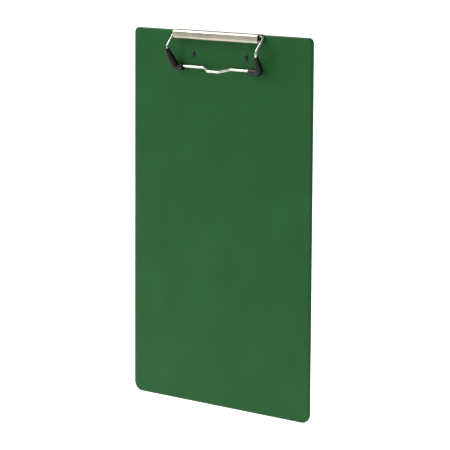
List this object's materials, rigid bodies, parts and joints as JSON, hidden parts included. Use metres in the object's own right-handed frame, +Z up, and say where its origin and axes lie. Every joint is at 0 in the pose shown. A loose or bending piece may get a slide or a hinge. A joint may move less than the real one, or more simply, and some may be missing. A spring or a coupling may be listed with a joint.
{
  "type": "clipboard",
  "caption": "Vinyl-covered clipboard with a sprung wire bail that swings out from a rolled metal channel on its top edge and holds paper under soft corner caps.",
  "frame": {"origin": "middle of the board's back face", "axes": "+Z up the board towards the clip, -Y out of the writing face, +X to the right of someone who looks at that face"},
  "size_m": [0.22, 0.0168, 0.3407],
  "materials": {
    "green_vinyl": "fine-grained calendered sheet, satin",
    "fibreboard": "pressed grey board",
    "nickel_sheet": "dull nickel plate over rolled strip",
    "bright_wire": "bright nickel plate over drawn wire",
    "green_lacquer": "stoved lacquer, semi-gloss",
    "black_vinyl": "moulded soft vinyl, satin"
  },
  "bodies": {
    "board": {"board_core": "fibreboard", "front_cover": "green_vinyl", "back_cover": "green_vinyl", "hinge_channel": "nickel_sheet", "rivet_left": "green_lacquer", "rivet_right": "green_lacquer", "held_end_from_left": "bright_wire", "held_end_from_right": "bright_wire"},
    "bail": {"wire_bail": "bright_wire", "corner_cap_left": "black_vinyl", "corner_cap_right": "black_vinyl"}
  },
  "joints": [
    {"name": "bail_hinge", "type": "hinge", "parent": "board", "child": "bail", "pos_m": [-0.0015, -0.0059, 0.1685], "axis": [-1, 0, 0], "range_deg": [0, 110], "stiffness_Nm_per_rad": 0.25, "springref_deg": -68.75}
  ]
}
